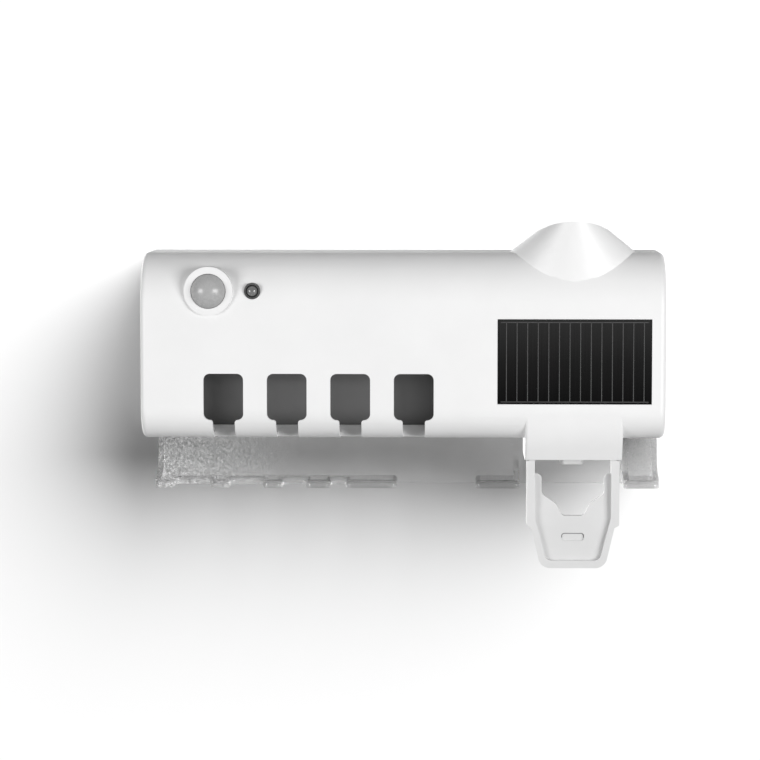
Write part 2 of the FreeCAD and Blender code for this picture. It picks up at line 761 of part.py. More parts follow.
def make_wall_bracket():
    """Clear wall plate with two upturned hooks, a slotted shelf and curved end gussets."""
    body = new_body("wall_bracket")
    body_back = "-(tape_thick + plate_thick/2)"
    pad_outline(body, "XZ", "plate_outline", "tape_thick", "plate_thick", [
        ("-plate_left", "-shelf_bottom"),
        ("plate_right", "-shelf_bottom"),
        ("plate_right", "plate_top", "plate_corner"),
        ("-plate_left", "plate_top", "plate_corner"),
    ])
    comb = [("-plate_left", body_back), ("-plate_left", "-shelf_front", "shelf_round")]
    for place in ("first", "second", "third", "fourth"):
        left = "-rack_%s_at - rack_%s_wide/2" % (place, place)
        right = "-rack_%s_at + rack_%s_wide/2" % (place, place)
        comb += [
            (left, "-shelf_front", "shelf_round"),
            (left, "-rack_root", "rack_root_round"),
            (right, "-rack_root", "rack_root_round"),
            (right, "-shelf_front", "shelf_round"),
        ]
    comb += [("-shelf_mid_end", "-shelf_front", "shelf_round"), ("-shelf_mid_end", body_back)]
    shelves = [
        ("comb", comb),
        ("middle", [
            ("shelf_right_start", body_back),
            ("shelf_right_start", "-shelf_front", "shelf_round"),
            ("spout_x - spout_gap_left", "-shelf_front", "shelf_round"),
            ("spout_x - spout_gap_left", body_back),
        ]),
        ("right", [
            ("spout_x + spout_gap_right", body_back),
            ("spout_x + spout_gap_right", "-shelf_front", "shelf_round"),
            ("plate_right", "-shelf_front", "shelf_round"),
            ("plate_right", body_back),
        ]),
    ]
    for name, corners in shelves:
        pad_outline(body, "XY", "shelf_" + name, "-shelf_bottom", "shelf_thick", corners)
    top_z = value(SHELF_TOP)
    face_y = value("-" + PLATE_FACE)
    round_edges(body, "finger_round", lambda edge: all_near(edge, lambda p: abs(p.z - top_z) < CLOSE)
                and all_near(edge, lambda p: p.y < face_y + CLOSE)
                and not all_near(edge, lambda p: p.y > face_y - CLOSE))
    gusset = [
        (body_back, "-shelf_bottom"),
        ("shelf_round - shelf_front", "-shelf_bottom"),
        ("shelf_round - shelf_front", SHELF_TOP),
        ("-%s - gusset_top_depth" % PLATE_FACE, SHELF_TOP + " + gusset_curve/2", "gusset_curve"),
        ("-%s - gusset_top_depth/2" % PLATE_FACE, BOTTOM + " - gusset_top_gap"),
        (body_back, BOTTOM + " - gusset_top_gap"),
    ]
    for name, start in (
        ("far_left", "-plate_left"),
        ("spout_left", "spout_x - spout_gap_left - gusset_thick"),
        ("spout_right", "spout_x + spout_gap_right"),
        ("far_right", "plate_right - gusset_thick"),
    ):
        pad_outline(body, "YZ", "gusset_" + name, start, "gusset_thick", gusset)
    hook = [
        (body_back, "hook_stem_low"),
        ("-%s - hook_lip_thick" % HOOK_BACK, "hook_stem_low"),
        ("-%s - hook_lip_thick" % HOOK_BACK, "hook_stem_low + hook_stem + hook_lip"),
        ("-" + HOOK_BACK, "hook_stem_low + hook_stem + hook_lip"),
        ("-" + HOOK_BACK, "hook_stem_low + hook_stem"),
        (body_back, "hook_stem_low + hook_stem"),
    ]
    for name, place in (("left", "-hook_left"), ("right", "hook_right")):
        pad_outline(body, "YZ", "hook_" + name, place + " - hook_width/2", "hook_width", hook)
    return body


def make_adhesive_pads():
    """Foam tape pads in a row between the wall and the bracket."""
    body = new_body("adhesive_pads")
    body.AllowCompound = True
    first_x = "-tape_spacing*(tape_count - 1)/2"
    first = pad_outline(body, "XZ", "tape_outline", "0", "tape_thick", box_corners(
        first_x + " - tape_width/2", first_x + " + tape_width/2",
        "plate_top - plate_corner - tape_height", "plate_top - plate_corner", "plate_corner"))
    repeat_along(body, first, "tape_spacing", "tape_count")
    return body


def make_uv_liner():
    """Dark chamber behind the brush slots: closed at the rear, top, floor and ends, open in front."""
    body = new_body("uv_liner")
    pad_outline(body, "YZ", "liner_profile", LINER_LEFT, LINER_LONG, [
        (INNER_FRONT, "-liner_top"),
        (INNER_FRONT, LINER_LOW, "bottom_round - shell_wall + liner_gap"),
        ("-liner_back", LINER_LOW),
        ("-liner_back", "-liner_top"),
    ])
    cut_outline(body, "YZ", "liner_hollow", "%s + %s - liner_wall" % (LINER_LEFT, LINER_LONG),
                LINER_LONG + " - 2*liner_wall", box_corners(
        "-" + FAR, "-liner_back - liner_wall", LINER_LOW + " + liner_wall", "-liner_top - liner_wall"))
    notch_top = LINER_LOW + " + shell_wall + neck_lip_height"
    notch = cut_outline(body, "XY", "liner_notch", notch_top, "body_height", box_corners(
        "-slot_first - neck_width/2 - neck_lip_thick - liner_gap",
        "-slot_first + neck_width/2 + neck_lip_thick + liner_gap",
        "-" + FAR, "neck_lip_thick + liner_gap - neck_back"))
    repeat_along(body, notch, "slot_pitch", "slot_count")
    hole = cut_circles(body, "XY", "lamp_hole", "0", "liner_top + 2*liner_wall",
                       [("-slot_first", "-lamp_depth", "lamp_radius + lamp_gap")])
    repeat_along(body, hole, "slot_pitch", "slot_count")
    return body


def make_uv_board():
    """Narrow lamp board lying on top of the chamber."""
    body = new_body("uv_board")
    pad_outline(body, "XY", "strip_outline", "-liner_top", "strip_thick", box_corners(
        "%s + liner_wall" % LINER_LEFT, "%s + %s - liner_wall" % (LINER_LEFT, LINER_LONG),
        "-lamp_depth - strip_width/2", "-lamp_depth + strip_width/2", "liner_wall/2"))
    return body


def make_uv_leds():
    """One lamp over each brush slot, shining down through the chamber's top."""
    body = new_body("uv_leds")
    body.AllowCompound = True
    lamp = pad_circles(body, "XY", "lamp_can", "-liner_top", "lamp_height",
                       [("-slot_first", "-lamp_depth", "lamp_radius")], flip=True)
    low_z = value("-liner_top - lamp_height")
    rounded = round_edges(body, "lamp_radius/2", lambda edge: all_near(
        edge, lambda p: abs(p.z - low_z) < CLOSE))
    row = body.newObject("PartDesign::LinearPattern", "lamp_row")
    row.Originals = [lamp, rounded]
    row.Direction = (lamp.Profile[0], ["H_Axis"])
    bind(row, Length="slot_pitch*(slot_count - 1)", Occurrences="slot_count")
    body.Tip = row
    doc.recompute()
    return body


def make_control_board():
    body = new_body("control_board")
    pad_outline(body, "XZ", "board_outline", "board_back", "board_thick", box_corners(
        "shell_wall + fit_gap*4 - " + HALF, "-board_right", "board_low", "board_high", "end_round/2"))
    cut_circles(body, "XZ", "board_holes", BOARD_FACE + " + overrun", "board_thick + 2*overrun",
                [(x, z, "screw_clearance") for x, z in BOARD_POSTS])
    return body


def make_pir_lens():
    """Milky dome with a flange behind the boss's shoulder."""
    face = "(-front_depth - sensor_boss_proud)"
    dome = "((lens_radius^2 + lens_rise^2)/(2*lens_rise))"
    return revolved("pir_lens", [
        ("0", face + " - lens_rise", None, dome),
        ("lens_radius", face),
        ("lens_radius", INNER_FRONT),
        ("lens_flange", INNER_FRONT),
        ("lens_flange", INNER_FRONT + " + lens_flange_thick"),
        ("lens_radius - lens_flange_thick", INNER_FRONT + " + lens_flange_thick"),
        ("lens_radius - lens_flange_thick", face),
        ("0", face),
    ], "-sensor_left", "0", "sensor_height", "Y")


def make_pir_sensor():
    """Metal can on the control board behind the dome."""
    body = new_body("pir_sensor")
    pad_circles(body, "XZ", "can_base", BOARD_FACE, "bezel_flange_thick/2",
                [("-sensor_left", "sensor_height", "sensor_can")])
    pad_circles(body, "XZ", "can_wall", BOARD_FACE, "sensor_can",
                [("-sensor_left", "sensor_height", "sensor_can - bezel_flange_thick/2")])
    return body


def make_status_led():
    tip = "(-front_depth - light_rise)"
    return revolved("status_led", [
        ("0", tip, None, "light_radius"),
        ("light_radius", tip + " + light_radius"),
        ("light_radius", "-" + BOARD_FACE),
        ("0", "-" + BOARD_FACE),
    ], "-light_left", "0", "sensor_height", "Y")


def make_led_bezel():
    back = "-bezel_flange_back"
    return revolved("led_bezel", [
        ("light_radius + fit_gap", "-front_depth"),
        ("bezel_radius", "-front_depth", "fit_gap"),
        ("bezel_radius", back + " - bezel_flange_thick"),
        ("bezel_flange", back + " - bezel_flange_thick"),
        ("bezel_flange", back),
        ("light_radius + fit_gap", back),
    ], "-light_left", "0", "sensor_height", "Y")


def make_charge_port():
    """Charging socket on the rear of the control board, in the left end."""
    body = new_body("charge_port")
    start = "(port_inset - %s)" % HALF
    low = "port_height - port_width/2"
    high = "port_height + port_width/2"
    pad_outline(body, "YZ", "port_shell", start, "port_length", box_corners(
        "-board_back", "port_thick - board_back", low, high, "port_thick/2 - fit_gap"))
    cut_outline(body, "YZ", "port_mouth", start + " + port_length - port_inset", "port_length", box_corners(
        "port_wall - board_back", "port_thick - port_wall - board_back",
        low + " + port_wall", high + " - port_wall", "port_thick/2 - fit_gap - port_wall"))
    end = start + " + port_length"
    pad_outline(body, "YZ", "port_tongue", end, "port_length - port_inset", box_corners(
        "port_thick/2 - port_wall - board_back", "port_thick/2 + port_wall - board_back",
        low + " + port_thick/2", high + " - port_thick/2"), flip=True)
    return body


def make_solar_panel():
    body = new_body("solar_panel")
    pad_outline(body, "XZ", "panel_outline", "front_depth - panel_recess", "panel_thick", box_corners(
        "spout_x - panel_width/2", "spout_x + panel_width/2",
        "-panel_centre - panel_height/2", "-panel_centre + panel_height/2"))
    return body


def make_battery_cell():
    """Round cell with a raised end cap, lying along the housing."""
    cell = revolved("battery_cell", [
        ("0", "0"),
        ("cell_radius", "0", "cell_gap*3"),
        ("cell_radius", "cell_length - cell_gap*5", "cell_gap*3"),
        ("cell_radius/3", "cell_length - cell_gap*5"),
        ("cell_radius/3", "cell_length"),
        ("0", "cell_length"),
    ], "-cell_left", "-" + CELL_DEPTH, "-cell_drop")
    cell.Placement.Rotation = FreeCAD.Rotation(Vector(0, 1, 0), 90)
    doc.recompute()
    return cell


def make_battery_cradle():
    """Half-round tray on the rear cover that holds the cell."""
    body = new_body("battery_cradle")
    reach = "(cell_radius + cell_gap + cradle_wall)"
    pad_outline(body, "XZ", "cradle_outline", COVER_FACE, reach, box_corners(
        "-cell_left - cell_gap - cradle_wall", "cell_length - cell_left + cell_gap + cradle_wall",
        "-cell_drop - " + reach, "-cell_drop + " + reach, "cradle_wall"))
    cut_circles(body, "YZ", "cradle_bed", "cell_length - cell_left + cell_gap", "cell_length + 2*cell_gap",
                [("-" + CELL_DEPTH, "-cell_drop", "cell_radius + cell_gap")])
    return body


def make_pump_body():
    """Pump block: piston chamber, valve seat, pin bearing and fixing ears."""
    body = new_body("pump_body")
    pad_outline(body, "YZ", "pump_profile", "spout_x - pump_half", "2*pump_half", [
        ("-pump_front", "-seat_height"),
        ("-pump_front", "-pump_step"),
        ("-chamber_front", "-pump_step"),
        ("-chamber_front", "-pump_low"),
        ("-pump_back", "-pump_low"),
        ("-pump_back", "-pump_step"),
        ("-pump_shoulder", "-seat_height"),
    ])
    pad_outline(body, "XZ", "pump_ears", "ear_back - ear_thick", "ear_thick", box_corners(
        "spout_x - ear_half", "spout_x + ear_half", "-ear_low", "ear_top", "ear_thick"))
    cut_circles(body, "XZ", "ear_holes", "ear_back + overrun", "ear_thick + 2*overrun",
                [(x, z, "screw_clearance") for x, z in PUMP_POSTS])
    cut_circles(body, "XZ", "chamber_bore", "chamber_front", "chamber_front - chamber_end",
                [("spout_x", "-chamber_height", "chamber_radius")])
    cut_circles(body, "YZ", "pin_bore", "spout_x + 2*pump_half", "4*pump_half",
                [("-pivot_depth", "-pivot_drop", "pin_radius")])
    cut_circles(body, "XY", "valve_seat", "-seat_height", "valve_recess_deep",
                [("spout_x", "-tube_depth", "valve_recess")])
    cut_circles(body, "XY", "stem_hole", "-seat_height", "valve_recess_deep + valve_stem_length + fit_gap",
                [("spout_x", "-tube_depth", "valve_stem + fit_gap/3")])
    cut_circles(body, "XY", "inlet_hole", "-seat_height", "chamber_height - seat_height",
                [("spout_x", "-inlet_depth", "inlet_radius")])
    cut_circles(body, "XY", "outlet_hole", "-pump_low", "pump_low - chamber_height",
                [("spout_x", "-outlet_depth", "outlet_radius")], flip=True)
    cut_circles(body, "XY", "bill_seat", "-pump_low", "bill_flange_thick",
                [("spout_x", "-outlet_depth", "bill_flange + fit_gap")], flip=True)
    return body


def make_tube_funnel():
    """Cone below the collar that centres the tube's shoulder over its socket."""
    return revolved("tube_funnel", [
        ("funnel_throat", "-seat_height"),
        ("funnel_flange", "-seat_height"),
        ("funnel_flange", "adapter_floor - seat_height"),
        ("funnel_throat + funnel_wall", "adapter_floor - seat_height"),
        ("funnel_throat + funnel_wall", "funnel_throat_top"),
        ("collar_bore + funnel_wall - fit_gap*2", "sleeve_bottom - fit_gap*2"),
        ("collar_bore - fit_gap*2", "sleeve_bottom - fit_gap*2"),
        ("funnel_throat", "funnel_throat_top"),
    ], "spout_x", "-tube_depth", "0")


def make_tube_adapter():
    """Soft socket that grips the neck of the tube."""
    return revolved("tube_adapter", [
        ("adapter_hole", "-seat_height"),
        ("funnel_throat - fit_gap", "-seat_height"),
        ("funnel_throat - fit_gap", "adapter_top"),
        ("adapter_bore", "adapter_top"),
        ("adapter_bore", "adapter_floor - seat_height"),
        ("adapter_hole", "adapter_floor - seat_height"),
    ], "spout_x", "-tube_depth", "0")


def make_inlet_valve():
    """Umbrella valve that lets paste into the chamber and not back."""
    floor = "(-seat_height - valve_recess_deep)"
    return revolved("inlet_valve", [
        ("0", floor + " - valve_stem_length"),
        ("valve_stem", floor + " - valve_stem_length"),
        ("valve_stem", floor),
        ("valve_radius", floor),
        ("valve_radius", floor + " + valve_thick/2"),
        ("valve_stem", floor + " + valve_thick"),
        ("0", floor + " + valve_thick"),
    ], "spout_x", "-tube_depth", "0")


def make_outlet_valve():
    """Soft bill valve clamped between the pump and the nozzle."""
    return revolved("outlet_valve", [
        ("bill_tip/3", "-pump_low - bill_length"),
        ("bill_tip", "-pump_low - bill_length"),
        ("bill_radius", "-pump_low"),
        ("bill_flange", "-pump_low"),
        ("bill_flange", "bill_flange_thick - pump_low"),
        ("bill_radius - bill_tip", "bill_flange_thick - pump_low"),
        ("bill_radius - bill_tip", "-pump_low"),
    ], "spout_x", "-outlet_depth", "0")


def make_nozzle():
    """Square-shouldered spout tip under the pump."""
    body = new_body("nozzle")
    pad_outline(body, "XY", "nozzle_outline", "-pump_low", "nozzle_bottom - pump_low", box_corners(
        "spout_x - nozzle_width/2", "spout_x + nozzle_width/2",
        "-outlet_depth - nozzle_deep/2", "-outlet_depth + nozzle_deep/2", "nozzle_round"), flip=True)
    cut_circles(body, "XY", "nozzle_bore", "0", "2*nozzle_bottom",
                [("spout_x", "-outlet_depth", "outlet_radius + fit_gap")])
    low_z = value("-nozzle_bottom")
    middle = Vector(value("spout_x"), value("-outlet_depth"), low_z)
    bore = value("outlet_radius + 2*fit_gap")
    round_edges(body, "nozzle_round/2", lambda edge: all_near(edge, lambda p: abs(p.z - low_z) < CLOSE)
                and all_near(edge, lambda p: p.distanceToPoint(middle) > bore))
    return body


def make_piston():
    """Plunger with a domed nose, a seal groove and a pocket for the spring."""
    tip = "(bar_thick + nose_gap - bar_front)"
    groove = "(seal_centre - seal_wire - fit_gap/3)"
    head = "(chamber_radius - run_gap)"
    pocket = HEAD_BACK + " - spring_pocket_deep"
    return revolved("piston", [
        ("0", tip, None, "rod_radius"),
        ("rod_radius", tip + " + rod_radius"),
        ("rod_radius", HEAD_FRONT),
        (head, HEAD_FRONT),
        (head, SEAL_PLACE + " - seal_wire - fit_gap/3"),
        (groove, SEAL_PLACE + " - seal_wire - fit_gap/3"),
        (groove, SEAL_PLACE + " + seal_wire + fit_gap/3"),
        (head, SEAL_PLACE + " + seal_wire + fit_gap/3"),
        (head, HEAD_BACK),
        ("spring_pocket", HEAD_BACK),
        ("spring_pocket", pocket),
        ("0", pocket),
    ], "spout_x", "0", "-chamber_height", "Y")


def make_piston_seal():
    ring = doc.addObject("Part::Torus", "piston_seal")
    bind(ring, Radius1="seal_centre", Radius2="seal_wire")
    ring.Placement.Rotation = FreeCAD.Rotation(Vector(1, 0, 0), 90)
    bind(ring, Placement__Base__x="spout_x", Placement__Base__y=SEAL_PLACE,
         Placement__Base__z="-chamber_height")
    return ring


def make_piston_cap():
    """Ring that keeps the piston in its chamber and guides the rod."""
    return revolved("piston_cap", [
        ("rod_radius + run_gap", "-chamber_front - cap_thick"),
        ("cap_radius", "-chamber_front - cap_thick"),
        ("cap_radius", "-chamber_front"),
        ("rod_radius + run_gap", "-chamber_front"),
    ], "spout_x", "0", "-chamber_height", "Y")


def make_return_spring():
    """Coil between the piston and the chamber's end, as one tube on quarter-turn arcs."""
    spring = doc.addObject("Part::Feature", "return_spring")
    wire = value("spring_wire")
    radius = value("spring_radius")
    start = value(HEAD_BACK + " - spring_pocket_deep + spring_wire/2 + spring_end_gap")
    length = value("-chamber_end - spring_wire/2 - spring_end_gap") - start
    turns = int(value("spring_turns"))

    def coil(share):
        angle = 2 * math.pi * turns * share
        return Vector(radius * math.cos(angle), start + length * share, radius * math.sin(angle))

    quarters = 4 * turns
    shares = [(i / quarters, (i + 0.5) / quarters, (i + 1) / quarters) for i in range(quarters)]
    arcs = [Part.Arc(*[coil(share) for share in arc]) for arc in shares]
    path = Part.Wire([arc.toShape() for arc in arcs])
    heading = arcs[0].tangent(arcs[0].FirstParameter)[0]
    section = Part.Wire([Part.Circle(coil(0), heading, wire / 2).toShape()])
    spring.Shape = path.makePipeShell([section], True, False)
    print("return_spring: least gap between turns %.2f mm" % (length / turns - wire))
    bind(spring, Placement__Base__x="spout_x", Placement__Base__z="-chamber_height")
    return spring


def make_lever_pin():
    pin = doc.addObject("Part::Cylinder", "lever_pin")
    bind(pin, Radius="pin_radius", Height="2*" + ARM_OUT)
    pin.Placement.Rotation = FreeCAD.Rotation(Vector(0, 1, 0), 90)
    bind(pin, Placement__Base__x="spout_x - " + ARM_OUT, Placement__Base__y="-pivot_depth",
         Placement__Base__z="-pivot_drop")
    return pin


def make_push_lever():
    """U-shaped lever: two rails, a dished foot with a waved edge, arms and a pusher bar."""
    body = new_body("push_lever")
    deep = "lever_front - lever_back"

    def both_sides(half):
        """The corners of a right-hand edge, from top to bottom, and their mirror images."""
        right = [("spout_x + " + corner[0],) + tuple(corner[1:]) for corner in half]
        left = [("spout_x - (%s)" % corner[0],) + tuple(corner[1:]) for corner in reversed(half)]
        return right + left

    pad_outline(body, "XZ", "lever_outline", "lever_back", deep, both_sides([
        ("rail_out", LEVER_TOP),
        ("rail_out", "-rail_step", "rail_step_in/2"),
        ("rail_out - rail_step_in", "-rail_step - rail_step_in/2"),
        ("toe_half", "-lever_bottom", "toe_round"),
    ]))
    tray = both_sides([
        ("rail_in", LEVER_TOP + " + overrun"),
        ("rail_in", "rim_width - rail_step"),
        ("tray_toe_half", "rim_width - lever_bottom", "tray_toe_round"),
    ])
    cut_outline(body, "XZ", "tray_front", "lever_front + overrun", "tray_deep + overrun", tray)
    cut_outline(body, "XZ", "tray_rear", "lever_back - overrun",
                deep + " - tray_deep - tray_floor + overrun", tray, flip=True)
    cut_outline(body, "XZ", "scoop", "lever_front + overrun", deep + " + 2*overrun", both_sides([
        ("rail_in", LEVER_TOP + " + overrun"),
        ("rail_in", "-scoop_top"),
        ("scoop_shoulder", "-scoop_top", "scoop_round"),
        ("scoop_shoulder", "-scoop_wave", "scoop_round"),
        ("scoop_waist", "-scoop_waist_drop", "scoop_round"),
        ("scoop_floor_half", "-scoop_floor", "scoop_round"),
    ]))
    cut_outline(body, "YZ", "tray_ramp", "spout_x + rail_in", "2*rail_in", [
        ("tray_deep - lever_front - overrun", "-rail_step"),
        ("tray_deep - lever_front", "-rail_step"),
        ("tray_deep - lever_front + tray_slope", "-scoop_top + overrun"),
        ("tray_deep - lever_front - overrun", "-scoop_top + overrun"),
    ])
    mark_start = "lever_front - tray_deep + overrun"
    cut_outline(body, "XZ", "grip_mark", mark_start, "grip_deep + overrun", box_corners(
        "spout_x - grip_width/2", "spout_x + grip_width/2", "-grip_top - grip_height", "-grip_top",
        "grip_round"))
    arm = [
        ("-pivot_depth - hub_radius", "hub_radius - pivot_drop", "hub_radius - fit_gap/2"),
        ("-pivot_depth - hub_radius", "-pivot_drop - hub_radius/2"),
        ("-lever_front", "-bar_top + hub_radius/4"),
        ("-lever_front", LEVER_TOP + " - hub_radius"),
        ("-lever_back", LEVER_TOP + " - hub_radius"),
        ("-lever_back", "-apron_bottom + hub_radius"),
        ("-pivot_depth + hub_radius", "-pivot_drop - hub_radius/2"),
        ("-pivot_depth + hub_radius", "hub_radius - pivot_drop", "hub_radius - fit_gap/2"),
    ]
    for side, start in (("right", "spout_x + rail_in"), ("left", "spout_x - " + ARM_OUT)):
        pad_outline(body, "YZ", "arm_" + side, start, ARM_OUT + " - rail_in", arm)
    pad_outline(body, "XZ", "pusher_bar", "bar_front - bar_thick", "bar_thick", box_corners(
        "spout_x - " + ARM_OUT, "spout_x + " + ARM_OUT, "-bar_low", "-bar_top"))
    cut_circles(body, "YZ", "hub_bore", "spout_x + 2*rail_out", "4*rail_out",
                [("-pivot_depth", "-pivot_drop", "pin_radius + pin_gap")])
    return body


def make_screws(label, places, seat, clamp):
    """Pan-head screws driven from the rear, their heads on a seat at a depth from the wall."""
    screws = []
    for number, (across, up) in enumerate(places, 1):
        head = doc.addObject("Part::Cylinder", "%s_head_%d" % (label, number))
        bind(head, Radius="screw_head", Height="screw_head_thick - fit_gap")
        shank = doc.addObject("Part::Cylinder", "%s_shank_%d" % (label, number))
        bind(shank, Radius="screw_radius", Height="%s + screw_bite" % clamp)
        for solid, turn in ((head, -90), (shank, 90)):
            solid.Placement.Rotation = FreeCAD.Rotation(Vector(1, 0, 0), turn)
            bind(solid, Placement__Base__x=across, Placement__Base__y="-(%s)" % seat, Placement__Base__z=up)
        screw = doc.addObject("Part::Fuse", "%s_%d" % (label, number))
        screw.Base = head
        screw.Tool = shank
        screws.append(screw)
    group = doc.addObject("Part::Compound", label)
    group.Links = screws
    return group


PIECES = [
    make_wall_bracket(),
    make_adhesive_pads(),
    make_front_shell(),
    make_back_cover(),
    make_screws("cover_screws", POSTS, "rear_edge + screw_head_thick", "cover_thick - screw_head_thick"),
    make_uv_liner(),
    make_uv_board(),
    make_uv_leds(),
    make_control_board(),
    make_screws("board_screws", BOARD_POSTS, "board_back", "board_thick - 2*overrun"),
    make_pir_lens(),
    make_pir_sensor(),
    make_status_led(),
    make_led_bezel(),
    make_charge_port(),
    make_solar_panel(),
    make_battery_cell(),
    make_battery_cradle(),
    make_pump_body(),
    make_screws("pump_screws", PUMP_POSTS, "ear_back - ear_thick", "ear_thick"),
    make_tube_funnel(),
    make_tube_adapter(),
    make_inlet_valve(),
    make_outlet_valve(),
    make_nozzle(),
    make_piston(),
    make_piston_seal(),
    make_piston_cap(),
    make_return_spring(),
    make_lever_pin(),
    make_push_lever(),
]
doc.recompute()

broken = [item.Name for item in doc.Objects if "Invalid" in item.State or "Error" in item.State]
broken += [piece.Label for piece in PIECES if piece.Shape.isNull() or not piece.Shape.isValid()]
if broken:
    raise RuntimeError("these did not build: " + ", ".join(broken))

os.makedirs("parts", exist_ok=True)
for piece in PIECES:
    piece.Shape.exportStep("parts/%s.step" % piece.Label)
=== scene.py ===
import math

import bmesh
import bpy
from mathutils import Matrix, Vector


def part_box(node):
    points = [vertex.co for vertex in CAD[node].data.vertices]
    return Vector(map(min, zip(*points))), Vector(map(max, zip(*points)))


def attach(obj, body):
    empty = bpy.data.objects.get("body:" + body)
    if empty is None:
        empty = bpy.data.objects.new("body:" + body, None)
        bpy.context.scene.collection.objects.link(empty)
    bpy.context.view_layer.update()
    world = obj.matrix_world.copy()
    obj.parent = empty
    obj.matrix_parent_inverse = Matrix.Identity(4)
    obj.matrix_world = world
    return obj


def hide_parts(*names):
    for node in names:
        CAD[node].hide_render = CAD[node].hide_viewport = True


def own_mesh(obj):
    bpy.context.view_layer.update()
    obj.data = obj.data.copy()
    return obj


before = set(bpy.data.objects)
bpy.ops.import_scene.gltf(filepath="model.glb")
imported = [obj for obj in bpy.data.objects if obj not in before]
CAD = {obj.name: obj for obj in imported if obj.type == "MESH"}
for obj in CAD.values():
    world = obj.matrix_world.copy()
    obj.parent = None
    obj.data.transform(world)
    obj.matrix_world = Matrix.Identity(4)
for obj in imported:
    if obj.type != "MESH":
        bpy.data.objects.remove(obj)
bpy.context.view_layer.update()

MM = 0.001

# Camera, worked out from the photograph: 760 pixels show 316.7 mm at the front of the housing
VIEW_WIDTH = 316.7 * MM
VIEW_DISTANCE = 1300 * MM
VIEW_CENTRE = Vector((-9.5, -56.0, -13.6)) * MM
CAMERA_SIDE = 20 * MM
CAMERA_HEIGHT = 90 * MM
SENSOR = 36.0

# Range that most values of a noise texture lie in
NOISE_SPAN = (0.3, 0.7)


def new_material(name):
    """A node material, with its tree and its main shader."""
    made = bpy.data.materials.new(name)
    made.use_nodes = True
    tree = made.node_tree
    return made, tree, tree.nodes["Principled BSDF"]


def node(tree, kind, links=None, **values):
    """A shader node with input values set by name and inputs joined to other nodes' sockets."""
    made = tree.nodes.new("ShaderNode" + kind)
    for name, value in values.items():
        if name in made.inputs:
            made.inputs[name].default_value = value
        else:
            setattr(made, name, value)
    for name, socket in (links or {}).items():
        tree.links.new(socket, made.inputs[name])
    return made


def place(tree):
    """Position in the frame, in metres, carried along with the piece."""
    return node(tree, "TexCoord").outputs["Object"]


def noise(tree, size, detail=3.0, roughness=0.55):
    """Smooth noise whose features are about as large as the given size, from 0 to 1."""
    made = node(tree, "TexNoise", {"Vector": place(tree)}, Detail=detail, Roughness=roughness)
    made.inputs["Scale"].default_value = 1.0 / size
    return made.outputs["Fac"]


def ramp(tree, socket, stops):
    """Colours along a value: stops are (position, colour or grey level)."""
    made = node(tree, "ValToRGB", {"Fac": socket})
    band = made.color_ramp
    while len(band.elements) < len(stops):
        band.elements.new(1.0)
    for element, (position, colour) in zip(band.elements, stops):
        element.position = position
        element.color = (colour, colour, colour, 1.0) if isinstance(colour, float) else (*colour, 1.0)
    return made.outputs["Color"]


def between(tree, socket, low, high, start=0.0, end=1.0):
    """A value stretched from the range start to end onto the range low to high."""
    made = node(tree, "MapRange", {"Value": socket})
    made.inputs["From Min"].default_value = start
    made.inputs["From Max"].default_value = end
    made.inputs["To Min"].default_value = low
    made.inputs["To Max"].default_value = high
    return made.outputs["Result"]


def combine(tree, operation, one, two):
    """Two values joined by a maths operation."""
    return node(tree, "Math", {0: one, 1: two}, operation=operation).outputs["Value"]


def shades(tree, socket, shade):
    """Colours from the darker to the lighter shade over the usual range of a noise."""
    return ramp(tree, socket, list(zip(NOISE_SPAN, shade)))


def bumped(tree, shader, socket, strength, depth):
    """Relief on the shader, as deep as given, from a height value."""
    made = node(tree, "Bump", {"Height": socket}, Strength=strength, Distance=depth)
    tree.links.new(made.outputs["Normal"], shader.inputs["Normal"])


def soften(shader, weight):
    """Light let a little way into the surface."""
    shader.inputs["Subsurface Weight"].default_value = weight
    shader.inputs["Subsurface Radius"].default_value = (1.0, 1.0, 1.0)
    shader.inputs["Subsurface Scale"].default_value = 2 * MM


# Moulded plastic: size of its clouds of colour and of gloss, and its tool texture
COLOUR_CLOUD = 30 * MM
GLOSS_CLOUD = 8 * MM
GLOSS_SPREAD = 0.05
TOOL_GRAIN = 0.35 * MM
TOOL_DEPTH = 0.02 * MM
COAT_ROUGHNESS = 0.12


def moulded(name, shade, roughness, bump=0.06, coat=0.0, soft=0.0):
    """Moulded plastic: faint cloudy colour, uneven gloss and a fine tool texture."""
    made, tree, shader = new_material(name)
    tree.links.new(shades(tree, noise(tree, COLOUR_CLOUD), shade), shader.inputs["Base Color"])
    clouds = noise(tree, GLOSS_CLOUD)
    gloss = between(tree, clouds, roughness - GLOSS_SPREAD, roughness + GLOSS_SPREAD, *NOISE_SPAN)
    tree.links.new(gloss, shader.inputs["Roughness"])
    bumped(tree, shader, noise(tree, TOOL_GRAIN, 2.0), bump, TOOL_DEPTH)
    shader.inputs["Coat Weight"].default_value = coat
    shader.inputs["Coat Roughness"].default_value = COAT_ROUGHNESS
    if soft:
        soften(shader, soft)
    return made


# Clear bracket: spans over which its frosted patches and the painted shade at its ends fade, over which
# painted shade below the housing fades out, and over which painted shade darkens its front edges
FROST_AND_SHADE_LEFT = (-100 * MM, -45 * MM)
FROST_AND_SHADE_RIGHT = (90 * MM, 96 * MM)
FROST_AND_SHADE_RIGHT_SHARE = 0.6
SPECKLE_SIZE = 1.1 * MM
SPECKLE_DEPTH = 0.12 * MM
SHADE_BELOW_HOUSING = (-30 * MM, -60 * MM)
SMOKE_CLOUD = 25 * MM
SHADED_TIP = (-26.5 * MM, -23 * MM)
CLEAR_IOR = 1.49


